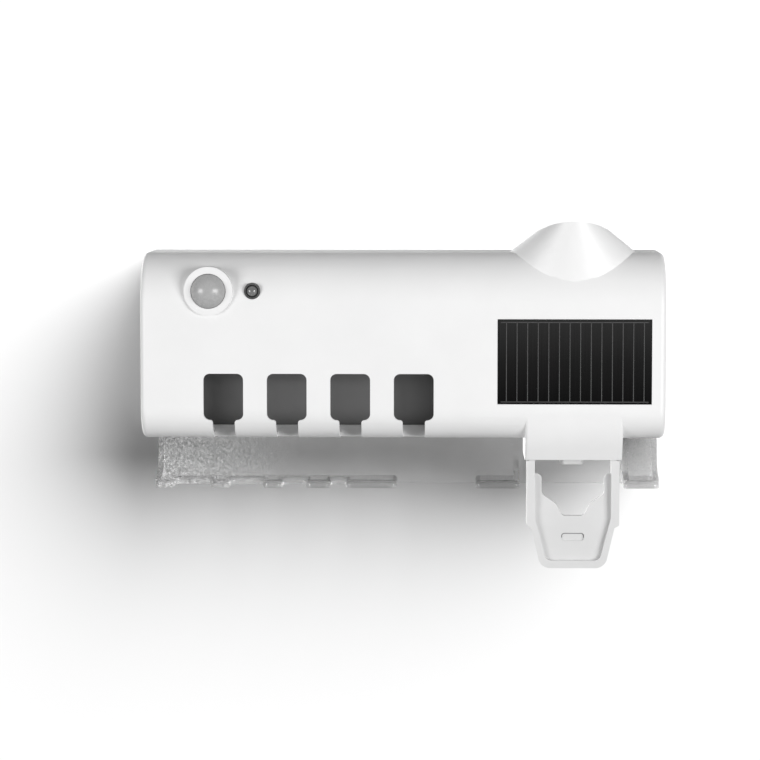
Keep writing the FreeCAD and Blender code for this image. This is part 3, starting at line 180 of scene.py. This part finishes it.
def clear_plastic():
    """Clear, slightly smoky moulding with a frosted, speckled patch at its left and right ends, and painted
    shade: darker at both ends, just below the housing and along its front edges.
    """
    made, tree, shader = new_material("clear_plastic")
    where = node(tree, "SeparateXYZ", {"Vector": place(tree)}).outputs
    left = between(tree, where["X"], 1.0, 0.0, *FROST_AND_SHADE_LEFT)
    right = between(tree, where["X"], 0.0, FROST_AND_SHADE_RIGHT_SHARE, *FROST_AND_SHADE_RIGHT)
    speckle = ramp(tree, noise(tree, SPECKLE_SIZE, 4.0, 0.7), [(0.40, 0.0), (0.62, 1.0)])
    frost = combine(tree, "MULTIPLY", combine(tree, "MAXIMUM", left, right), speckle)
    tree.links.new(between(tree, frost, 0.04, 0.30), shader.inputs["Roughness"])
    tree.links.new(between(tree, frost, 1.0, 0.72), shader.inputs["Transmission Weight"])
    # Painted shade: the bracket darker just below the housing, fading out further down
    housing_shade_fade = between(tree, where["Z"], 0.2, 0.9, *SHADE_BELOW_HOUSING)
    cloudy = between(tree, noise(tree, SMOKE_CLOUD), 0.0, 0.1, *NOISE_SPAN)
    # Painted shade: the front edges of the shelf darker
    tip_shade = between(tree, where["Y"], 1.0, 0.0, *SHADED_TIP)
    # Painted shade: the left and right ends darker, over the same spans as the frosted patches
    ends = combine(tree, "MAXIMUM", between(tree, right, 0.0, 1.2), between(tree, left, 0.0, 0.6))
    darker = combine(tree, "MAXIMUM", ends, tip_shade)
    tone_and_painted_shade = combine(tree, "SUBTRACT", combine(tree, "ADD", housing_shade_fade, cloudy), darker)
    tint_and_painted_shade = ramp(tree, tone_and_painted_shade, [(0.0, 0.42), (0.35, 0.60), (1.0, 0.93)])
    tree.links.new(tint_and_painted_shade, shader.inputs["Base Color"])
    bumped(tree, shader, frost, 0.30, SPECKLE_DEPTH)
    shader.inputs["IOR"].default_value = CLEAR_IOR
    return made


# Drawn metal: grains per metre, and how much finer they are along Z
DRAWN_GRAIN = 900.0
DRAWN_STRETCH = (1.0, 1.0, 12.0)
DRAWN_GLOSS_SPREAD = 0.07


def metal(name, shade, roughness):
    """Drawn metal with fine lines along one direction."""
    made, tree, shader = new_material(name)
    drawn = node(tree, "Mapping", {"Vector": place(tree)}, Scale=DRAWN_STRETCH)
    texture = node(tree, "TexNoise", {"Vector": drawn.outputs["Vector"]}, Scale=DRAWN_GRAIN, Detail=3.0)
    grain = texture.outputs["Fac"]
    tree.links.new(shades(tree, grain, shade), shader.inputs["Base Color"])
    gloss = between(tree, grain, roughness - DRAWN_GLOSS_SPREAD, roughness + DRAWN_GLOSS_SPREAD)
    tree.links.new(gloss, shader.inputs["Roughness"])
    bumped(tree, shader, grain, 0.08, TOOL_DEPTH)
    shader.inputs["Metallic"].default_value = 1.0
    return made


# Solar cells: grains per metre, and the small share of that along Z, which draws them out into streaks
STREAK_GRAIN = 1600.0
STREAK_STRETCH = (1.0, 1.0, 0.02)


def solar_glass():
    """Dark cells under glass with fine upright streaks, and painted light that makes them a little lighter
    towards the top.
    """
    made, tree, shader = new_material("solar_cells")
    low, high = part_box("solar_panel")
    up = node(tree, "SeparateXYZ", {"Vector": place(tree)}).outputs["Z"]
    # Painted light: the cells lighter towards the top of the panel
    share = between(tree, up, 0.0, 1.0, low.z, high.z)
    streaks = node(tree, "Mapping", {"Vector": place(tree)}, Scale=STREAK_STRETCH)
    texture = node(tree, "TexNoise", {"Vector": streaks.outputs["Vector"]}, Scale=STREAK_GRAIN, Detail=2.0)
    grain = texture.outputs["Fac"]
    mixed = combine(tree, "ADD", share, between(tree, grain, -0.12, 0.12))
    colours = ramp(tree, mixed, [(0.0, 0.0012), (0.5, 0.009), (1.0, 0.024)])
    tree.links.new(colours, shader.inputs["Base Color"])
    tree.links.new(between(tree, grain, 0.26, 0.34), shader.inputs["Roughness"])
    shader.inputs["Specular IOR Level"].default_value = 0.05
    return made


# Circuit board: scale of its pattern of tracks, its two greens and the green over the tracks
TRACK_SCALE = 160.0
LACQUER = (0.010, 0.090, 0.040, 1.0)
PALER_LACQUER = (0.014, 0.110, 0.050, 1.0)
TRACK_GREEN = (0.030, 0.170, 0.080, 1.0)
LACQUER_CLOUD = 2 * MM


def circuit_board():
    """Green lacquer over copper, with paler runs of track."""
    made, tree, shader = new_material("circuit_board")
    tracks = node(tree, "TexBrick", {"Vector": place(tree)}, Scale=TRACK_SCALE)
    tracks.inputs["Color1"].default_value = LACQUER
    tracks.inputs["Color2"].default_value = PALER_LACQUER
    tracks.inputs["Mortar"].default_value = TRACK_GREEN
    tree.links.new(tracks.outputs["Color"], shader.inputs["Base Color"])
    tree.links.new(between(tree, noise(tree, LACQUER_CLOUD), 0.25, 0.4), shader.inputs["Roughness"])
    return made


# Lens: cells per metre, and the share of a cell that its edge takes up
FACET_SCALE = 420.0
FACET_EDGE = 0.12
FACET_DEPTH = 0.01 * MM
LENS_CLOUD = 3 * MM


def lens_plastic():
    """Milky lens plastic with the faint cells of a moulded lens array."""
    made, tree, shader = new_material("milky_lens")
    facets = node(tree, "TexVoronoi", {"Vector": place(tree)}, feature="DISTANCE_TO_EDGE", Scale=FACET_SCALE)
    edge = between(tree, facets.outputs["Distance"], 0.0, 1.0, 0.0, FACET_EDGE)
    tree.links.new(ramp(tree, edge, [(0.0, 0.41), (1.0, 0.42)]), shader.inputs["Base Color"])
    tree.links.new(between(tree, noise(tree, LENS_CLOUD), 0.22, 0.32), shader.inputs["Roughness"])
    bumped(tree, shader, edge, 0.01, FACET_DEPTH)
    soften(shader, 0.25)
    return made


# Foam tape: pores per metre
PORE_SCALE = 1500.0
PORE_DEPTH = 0.2 * MM
FOAM_CLOUD = 4 * MM


def foam():
    """Foam tape with open pores."""
    made, tree, shader = new_material("foam_tape")
    pores = node(tree, "TexVoronoi", {"Vector": place(tree)}, Scale=PORE_SCALE).outputs["Distance"]
    tree.links.new(ramp(tree, pores, [(0.0, 0.45), (0.6, 0.72)]), shader.inputs["Base Color"])
    tree.links.new(between(tree, noise(tree, FOAM_CLOUD), 0.8, 0.95), shader.inputs["Roughness"])
    bumped(tree, shader, pores, 0.4, PORE_DEPTH)
    return made


white = moulded("white_plastic", shade=(0.86, 0.89), roughness=0.46)
lever_white = moulded("lever_plastic", shade=(0.69, 0.73), roughness=0.34, soft=0.3)
# Painted light: the nozzle's white is lighter than the housing's, so that it looks lit in the shade under
# the apron
lit_white = moulded("nozzle_lit_white", shade=(0.93, 0.95), roughness=0.30)
dark = moulded("dark_plastic", shade=(0.145, 0.165), roughness=0.62, bump=0.12)
trim = moulded("dark_trim", shade=(0.055, 0.075), roughness=0.30)
grey = moulded("grey_plastic", shade=(0.30, 0.36), roughness=0.45)
rubber = moulded("soft_rubber", shade=(0.34, 0.40), roughness=0.55, soft=0.3)
lamp = moulded("lamp_plastic", shade=(0.50, 0.58), roughness=0.18, coat=0.6)
indicator = moulded("indicator_plastic", shade=(0.100, 0.130), roughness=0.16, bump=0.02, coat=0.7)
wrap = moulded("cell_wrap", shade=((0.05, 0.13, 0.30), (0.06, 0.15, 0.34)), roughness=0.32)
clear = clear_plastic()
steel = metal("steel", shade=(0.50, 0.62), roughness=0.30)
board = circuit_board()
milky = lens_plastic()
cells = solar_glass()
tape = foam()
grid_metal = metal("grid_metal", shade=(0.05, 0.07), roughness=0.60)
# Painted shade for the cross recesses in the rear screw heads
recess_shade_metal = metal("recess_shade_metal", shade=(0.04, 0.07), roughness=0.55)
# Painted shade for the dark line in the lever's recess
shade_line_dark = moulded("shade_line_plastic", shade=(0.15, 0.19), roughness=0.50)

FINISH = {
    "wall_bracket": clear,
    "adhesive_pads": tape,
    "front_shell": white,
    "back_cover": white,
    "cover_screws": steel,
    "uv_liner": dark,
    "uv_board": board,
    "uv_leds": lamp,
    "control_board": board,
    "board_screws": steel,
    "pir_lens": milky,
    "pir_sensor": steel,
    "status_led": indicator,
    "led_bezel": trim,
    "charge_port": steel,
    "solar_panel": cells,
    "battery_cell": wrap,
    "battery_cradle": grey,
    "pump_body": grey,
    "pump_screws": steel,
    "tube_funnel": white,
    "tube_adapter": rubber,
    "inlet_valve": rubber,
    "outlet_valve": rubber,
    "nozzle": lit_white,
    "piston": white,
    "piston_seal": rubber,
    "piston_cap": white,
    "return_spring": steel,
    "lever_pin": steel,
    "push_lever": lever_white,
}

# Edges broken a little, as on a real moulding, where they are sharper than the edge angle
EDGE_BREAK = {
    "front_shell": 0.25 * MM,
    "push_lever": 0.45 * MM,
    "wall_bracket": 0.50 * MM,
    "nozzle": 0.30 * MM,
    "solar_panel": 0.10 * MM,
    "tube_funnel": 0.25 * MM,
}
EDGE_ANGLE = math.radians(70)
EDGE_SEGMENTS = 2
WELD_GAP = 0.002 * MM
SMOOTH_ANGLE = math.radians(32)
LARGE_FACES_LEAD = 100


def finish_node(name):
    """Give a CAD node its material, smooth shading and slightly broken edges."""
    piece = CAD[name]
    piece.data.materials.clear()
    piece.data.materials.append(FINISH[name])
    for face in piece.data.polygons:
        face.material_index = 0
        face.use_smooth = True
    weld = piece.modifiers.new("joined", "WELD")
    weld.merge_threshold = WELD_GAP
    if name in EDGE_BREAK:
        edge = piece.modifiers.new("broken_edges", "BEVEL")
        edge.width = EDGE_BREAK[name]
        edge.segments = EDGE_SEGMENTS
        edge.limit_method = "ANGLE"
        edge.angle_limit = EDGE_ANGLE
        edge.harden_normals = True
    split = piece.modifiers.new("sharp_edges", "EDGE_SPLIT")
    split.split_angle = SMOOTH_ANGLE
    even = piece.modifiers.new("even_shading", "WEIGHTED_NORMAL")
    even.mode = "FACE_AREA"
    even.weight = LARGE_FACES_LEAD


for name in CAD:
    finish_node(name)

# Light that went through the clear bracket would whiten the wall behind it
CAD["wall_bracket"].visible_shadow = False
CAD["wall_bracket"].visible_diffuse = False


def mesh_piece(name, maker, material, body):
    """A new piece from mesh code, riding on a body."""
    shape = bmesh.new()
    maker(shape)
    bmesh.ops.recalc_face_normals(shape, faces=shape.faces)
    data = bpy.data.meshes.new(name)
    shape.to_mesh(data)
    shape.free()
    data.materials.append(material)
    piece = bpy.data.objects.new(name, data)
    bpy.context.scene.collection.objects.link(piece)
    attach(piece, body)
    return piece


def add_bar(shape, low, high, bevel):
    """A thin bar between two corners, its edges bevelled."""
    made = bmesh.ops.create_cube(shape, size=1.0)
    middle = (low + high) / 2
    size = high - low
    for vertex in made["verts"]:
        vertex.co = middle + Vector(c * s for c, s in zip(vertex.co, size))
    edges = list({edge for vertex in made["verts"] for edge in vertex.link_edges})
    bmesh.ops.bevel(shape, geom=edges, offset=bevel, segments=1, affect="EDGES")


def join_rings(shape, rings, smooth):
    """Faces between rings of points that follow each other, closed at both ends."""
    for one, two in zip(rings, rings[1:]):
        for side in range(len(one)):
            after = (side + 1) % len(one)
            shape.faces.new((one[side], one[after], two[after], two[side])).smooth = smooth
    shape.faces.new(rings[0])
    shape.faces.new(list(reversed(rings[-1])))


# Conductor grid of the solar panel: upright lines, and a line along the top edge and the bottom edge
LINE_COUNT = 14
LINE_PITCH = 4.42 * MM
LINE_FIRST = 3.6 * MM
LINE_WIDTH = 0.34 * MM
LINE_PROUD = 0.05 * MM
LINE_INSET = 1.2 * MM
LINE_RISE_LOW = 0.9 * MM
LINE_BEVEL = 0.015 * MM


def solar_grid(shape):
    """Thin bars standing a little proud of the panel's face."""
    low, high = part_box("solar_panel")
    front = low.y - LINE_PROUD
    back = low.y + LINE_PROUD
    bottom = low.z + LINE_RISE_LOW
    top = high.z - LINE_INSET
    for number in range(LINE_COUNT):
        x = low.x + LINE_FIRST + number * LINE_PITCH
        add_bar(shape, Vector((x - LINE_WIDTH / 2, front, bottom)), Vector((x + LINE_WIDTH / 2, back, top)),
                LINE_BEVEL)
    for z in (bottom, top):
        add_bar(shape, Vector((low.x + LINE_INSET, front, z - LINE_WIDTH / 2)),
                Vector((high.x - LINE_INSET, back, z + LINE_WIDTH / 2)), LINE_BEVEL)


mesh_piece("solar_grid", solar_grid, grid_metal, "housing")

# Painted shade of cross recesses in the heads of the rear screws: dark bars laid on the heads
CROSS_LENGTH = 2.9 * MM
CROSS_WIDTH = 0.65 * MM
CROSS_DEPTH = 0.03 * MM
CROSS_BEVEL = 0.01 * MM
HEAD_SPAN = 8 * MM


def head_centres(name):
    """Middle of the rear face of each screw head in a node."""
    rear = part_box(name)[1].y
    heads = []
    for vertex in CAD[name].data.vertices:
        corner = CAD[name].matrix_world @ vertex.co
        if rear - corner.y > CROSS_DEPTH:
            continue
        head = next((known for known in heads if (known[0] - corner).length < HEAD_SPAN), None)
        if head is None:
            heads.append([corner])
        else:
            head.append(corner)
    for head in heads:
        across = [corner.x for corner in head]
        upright = [corner.z for corner in head]
        yield Vector(((min(across) + max(across)) / 2, rear, (min(upright) + max(upright)) / 2))


def screw_crosses(shape):
    """Two dark bars across each other in every screw head: painted shade standing in for a cross recess."""
    for middle in head_centres("cover_screws"):
        for half in (Vector((CROSS_LENGTH / 2, CROSS_DEPTH, CROSS_WIDTH / 2)),
                     Vector((CROSS_WIDTH / 2, CROSS_DEPTH, CROSS_LENGTH / 2))):
            add_bar(shape, middle - half, middle + half, CROSS_BEVEL)


mesh_piece("screw_crosses", screw_crosses, recess_shade_metal, "housing")

# Painted shade: a dark line along the upper edge of the recess in the lever, where its shadow falls
MARK_WIDTH = 9.7 * MM
MARK_ROUND = 1.3 * MM
MARK_RISE = 14.7 * MM
MARK_BEHIND_RIM = 2.6 * MM
SHADE_LINE_WIDTH = 0.40 * MM
SHADE_LINE_LEG = 0.7 * MM
SHADE_LINE_PROUD = 0.04 * MM
SHADE_LINE_STEPS = 6


def shade_line_points():
    """Points of an arch and their outward directions, from its left foot over the top to its right."""
    low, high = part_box("push_lever")
    middle = (low.x + high.x) / 2
    floor_depth = low.y + MARK_BEHIND_RIM
    shoulder = low.z + MARK_RISE - MARK_ROUND
    straight = MARK_WIDTH / 2 - MARK_ROUND
    half = [(MARK_WIDTH / 2, shoulder - SHADE_LINE_LEG, 1.0, 0.0)]
    for step in range(SHADE_LINE_STEPS + 1):
        turn = math.pi / 2 * step / SHADE_LINE_STEPS
        across, up = math.cos(turn), math.sin(turn)
        half.append((straight + MARK_ROUND * across, shoulder + MARK_ROUND * up, across, up))
    for side, points in ((-1, half), (1, reversed(half))):
        for reach, z, across, up in points:
            yield Vector((middle + side * reach, floor_depth, z)), Vector((side * across, 0, up))


def recess_shade_line(shape):
    """A flat dark line laid on the floor of the recess: painted shade under its upper edge."""
    depth = Vector((0, SHADE_LINE_PROUD, 0))
    rings = []
    for point, out in shade_line_points():
        inner = point - out * SHADE_LINE_WIDTH
        corners = (point - depth, point + depth, inner + depth, inner - depth)
        rings.append([shape.verts.new(corner) for corner in corners])
    join_rings(shape, rings, smooth=False)


mesh_piece("recess_shade_line", recess_shade_line, shade_line_dark, "lever")

# Return spring: a coil whose end turns lie closer together than the rest
SPRING_LOW, SPRING_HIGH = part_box("return_spring")
SPRING_LENGTH = SPRING_HIGH.y - SPRING_LOW.y
SPRING_WIRE = 0.8 * MM
SPRING_TURNS = 6
SPRING_STEPS = 28
SPRING_SIDES = 10
SPRING_CLOSING = 0.4


def spring_line():
    """Points along the middle of the wire."""
    middle = (SPRING_LOW + SPRING_HIGH) / 2
    radius = (SPRING_HIGH.x - SPRING_LOW.x - SPRING_WIRE) / 2
    start = SPRING_LOW.y + SPRING_WIRE / 2
    length = SPRING_LENGTH - SPRING_WIRE
    count = SPRING_TURNS * SPRING_STEPS
    points = []
    for i in range(count + 1):
        share = i / count
        eased = share - SPRING_CLOSING * math.sin(2 * math.pi * share) / (2 * math.pi)
        angle = 2 * math.pi * SPRING_TURNS * share
        points.append(Vector((middle.x + radius * math.cos(angle), start + length * eased,
                              middle.z + radius * math.sin(angle))))
    return points


def spring_coil(shape):
    """Round wire along the coil."""
    points = spring_line()
    rings = []
    for i, point in enumerate(points):
        along = (points[min(i + 1, len(points) - 1)] - points[max(i - 1, 0)]).normalized()
        across = along.cross(Vector((0, 1, 0))).normalized()
        up = along.cross(across)
        turns = (2 * math.pi * side / SPRING_SIDES for side in range(SPRING_SIDES))
        rings.append([
            shape.verts.new(point + (across * math.cos(turn) + up * math.sin(turn)) * (SPRING_WIRE / 2))
            for turn in turns
        ])
    join_rings(shape, rings, smooth=True)


spring = mesh_piece("spring_coil", spring_coil, steel, "housing")
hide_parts("return_spring")
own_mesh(spring)

# Backdrop: a wall behind the part and a floor below it, in metres
ROOM = 2.5
FLOOR = -0.35
PAINT_CLOUD = 400 * MM
PAINT_SPREAD = 0.01


def one_sided(name, colour):
    """Backdrop paint that can be looked through from behind."""
    made, tree, shader = new_material(name)
    paint = shades(tree, noise(tree, PAINT_CLOUD), (colour, colour + PAINT_SPREAD))
    tree.links.new(paint, shader.inputs["Base Color"])
    shader.inputs["Roughness"].default_value = 0.9
    shader.inputs["Specular IOR Level"].default_value = 0.0
    behind = node(tree, "NewGeometry").outputs["Backfacing"]
    gone = node(tree, "BsdfTransparent")
    either = node(tree, "MixShader", {"Fac": behind, 1: shader.outputs["BSDF"], 2: gone.outputs["BSDF"]})
    tree.links.new(either.outputs["Shader"], tree.nodes["Material Output"].inputs["Surface"])
    return made


def backdrop(name, corners, material):
    """A flat sheet of the stage, which throws no diffuse light and no shadow onto the part."""
    data = bpy.data.meshes.new(name)
    data.from_pydata([Vector(corner) for corner in corners], [], [(0, 1, 2, 3)])
    data.materials.append(material)
    made = bpy.data.objects.new(name, data)
    bpy.context.scene.collection.objects.link(made)
    made.visible_diffuse = False
    made.visible_shadow = False
    return made


wall_corners = [(-ROOM, 0, FLOOR), (ROOM, 0, FLOOR), (ROOM, 0, ROOM), (-ROOM, 0, ROOM)]
floor_corners = [(-ROOM, -ROOM, FLOOR), (ROOM, -ROOM, FLOOR), (ROOM, ROOM, FLOOR), (-ROOM, ROOM, FLOOR)]
wall = backdrop("wall", wall_corners, one_sided("wall_paint", 0.90))
floor = backdrop("floor", floor_corners, one_sided("floor_paint", 0.80))


def linked(name, objects, state):
    """A set of objects that a lamp's light or shadow takes in, or leaves out."""
    made = bpy.data.collections.new(name)
    for thing in objects:
        made.objects.link(thing)
    for entry in made.collection_objects:
        entry.light_linking.link_state = state
    return made


def aimed(name, data, heading):
    """A lamp that shines along a heading."""
    made = bpy.data.objects.new(name, data)
    made.rotation_mode = "QUATERNION"
    made.rotation_quaternion = Vector(heading).to_track_quat("-Z", "Y")
    bpy.context.scene.collection.objects.link(made)
    return made


def area_lamp(name, where, size, power):
    """A soft rectangular lamp that faces the origin of the frame."""
    data = bpy.data.lights.new(name, "AREA")
    data.shape = "RECTANGLE"
    data.size, data.size_y = size
    data.energy = power
    made = aimed(name, data, -Vector(where))
    made.location = where
    return made


def sun_lamp(name, heading, softness, strength):
    """Light from one direction, its shadows softened by an angle in degrees."""
    data = bpy.data.lights.new(name, "SUN")
    data.energy = strength
    data.angle = math.radians(softness)
    return aimed(name, data, heading)


# Softboxes and the rear lamp light the part; the room lamp gives the shadow on the wall
right_softbox = area_lamp("right_softbox", where=(1.10, -1.20, 0.06), size=(0.9, 0.5), power=19.0)
left_softbox = area_lamp("left_softbox", where=(-1.20, -1.15, 0.06), size=(0.7, 0.5), power=13.5)
area_lamp("back", where=(-0.60, 1.50, -0.05), size=(1.2, 1.0), power=24.0)
room = sun_lamp("room", heading=(-0.95, 1.0, -1.10), softness=56.0, strength=5.6)
not_the_wall = linked("not_the_wall", [wall], "EXCLUDE")
right_softbox.light_linking.receiver_collection = not_the_wall
left_softbox.light_linking.receiver_collection = not_the_wall
room.light_linking.receiver_collection = linked("wall_and_floor", [wall, floor], "INCLUDE")
room.light_linking.blocker_collection = linked("not_the_lever", [CAD["push_lever"]], "EXCLUDE")

# World: white to the camera and in direct reflections and refractions, dim elsewhere
DIM_LEVEL = 0.15
WHITE_LEVEL = 1.0
world = bpy.data.worlds.new("studio")
world.use_nodes = True
bpy.context.scene.world = world
sky = world.node_tree
path = node(sky, "LightPath").outputs
mirrored = combine(sky, "MAXIMUM", path["Is Glossy Ray"], path["Is Transmission Ray"])
direct = combine(sky, "LESS_THAN", path["Diffuse Depth"], mirrored)
seen = combine(sky, "MAXIMUM", path["Is Camera Ray"], direct)
background = sky.nodes["Background"].inputs
sky.links.new(between(sky, seen, DIM_LEVEL, WHITE_LEVEL), background["Strength"])
background["Color"].default_value = (1.0, 1.0, 1.0, 1.0)

lens = bpy.data.cameras.new("camera")
lens.sensor_width = SENSOR
lens.lens = SENSOR * VIEW_DISTANCE / VIEW_WIDTH
camera = bpy.data.objects.new("camera", lens)
camera.location = (CAMERA_SIDE, VIEW_CENTRE.y - VIEW_DISTANCE, CAMERA_HEIGHT)
camera.rotation_mode = "QUATERNION"
camera.rotation_quaternion = (VIEW_CENTRE - camera.location).to_track_quat("-Z", "Y")
bpy.context.scene.collection.objects.link(camera)
bpy.context.scene.camera = camera
bpy.context.scene.view_settings.view_transform = "Standard"
